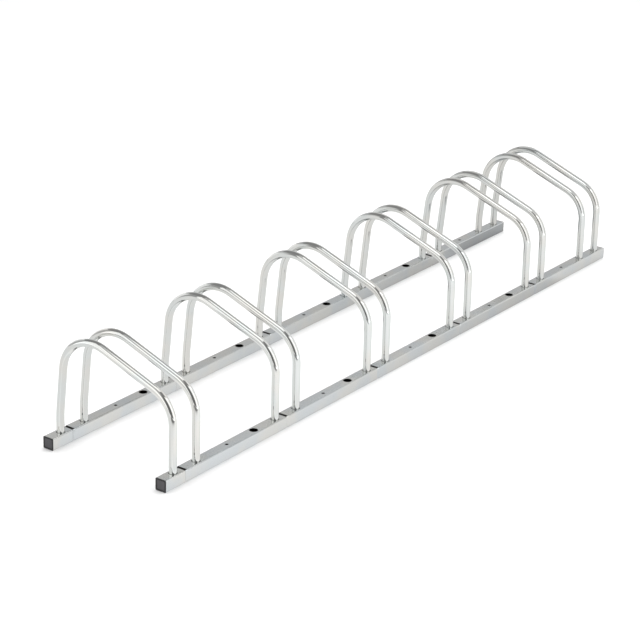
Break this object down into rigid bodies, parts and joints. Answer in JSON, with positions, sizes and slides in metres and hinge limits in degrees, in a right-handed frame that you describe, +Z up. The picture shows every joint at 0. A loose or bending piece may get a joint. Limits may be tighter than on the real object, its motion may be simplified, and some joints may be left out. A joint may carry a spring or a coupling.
{
  "type": "bicycle rack",
  "caption": "Floor-standing bicycle rack: plug-together square steel rails carry pairs of bent tube hoops, tall at the back and low at the front, that hold each wheel upright.",
  "frame": {"origin": "on the floor, under the middle of the rack's length and width", "axes": "+X along the rails from the rack's near end (short rail pieces) to its far end, +Y from the low front rail to the tall back rail, +Z up"},
  "size_m": [1.6084, 0.305, 0.2382],
  "materials": {
    "rail_zinc": "bright zinc plating, glossy",
    "hoop_zinc": "bright zinc plating, glossy",
    "screw_zinc": "zinc-plated, satin",
    "cap_plastic": "black, fine grain"
  },
  "bodies": {
    "root": {"front_rail_end": "rail_zinc", "front_rail_1": "rail_zinc", "front_rail_2": "rail_zinc", "front_rail_3": "rail_zinc", "front_rail_4": "rail_zinc", "front_rail_5": "rail_zinc", "back_rail_end": "rail_zinc", "back_rail_1": "rail_zinc", "back_rail_2": "rail_zinc", "back_rail_3": "rail_zinc", "back_rail_4": "rail_zinc", "back_rail_5": "rail_zinc", "hoop_1a": "hoop_zinc", "hoop_1b": "hoop_zinc", "hoop_2a": "hoop_zinc", "hoop_2b": "hoop_zinc", "hoop_3a": "hoop_zinc", "hoop_3b": "hoop_zinc", "hoop_4a": "hoop_zinc", "hoop_4b": "hoop_zinc", "hoop_5a": "hoop_zinc", "hoop_5b": "hoop_zinc", "hoop_6a": "hoop_zinc", "hoop_6b": "hoop_zinc", "front_near_cap": "cap_plastic", "front_far_cap": "cap_plastic", "back_near_cap": "cap_plastic", "back_far_cap": "cap_plastic", "front_screw_1a": "screw_zinc", "front_screw_1b": "screw_zinc", "front_screw_2a": "screw_zinc", "front_screw_2b": "screw_zinc", "front_screw_3a": "screw_zinc", "front_screw_3b": "screw_zinc", "front_screw_4a": "screw_zinc", "front_screw_4b": "screw_zinc", "front_screw_5a": "screw_zinc", "front_screw_5b": "screw_zinc", "front_screw_6a": "screw_zinc", "front_screw_6b": "screw_zinc", "back_screw_1a": "screw_zinc", "back_screw_1b": "screw_zinc", "back_screw_2a": "screw_zinc", "back_screw_2b": "screw_zinc", "back_screw_3a": "screw_zinc", "back_screw_3b": "screw_zinc", "back_screw_4a": "screw_zinc", "back_screw_4b": "screw_zinc", "back_screw_5a": "screw_zinc", "back_screw_5b": "screw_zinc", "back_screw_6a": "screw_zinc", "back_screw_6b": "screw_zinc"}
  },
  "joints": []
}
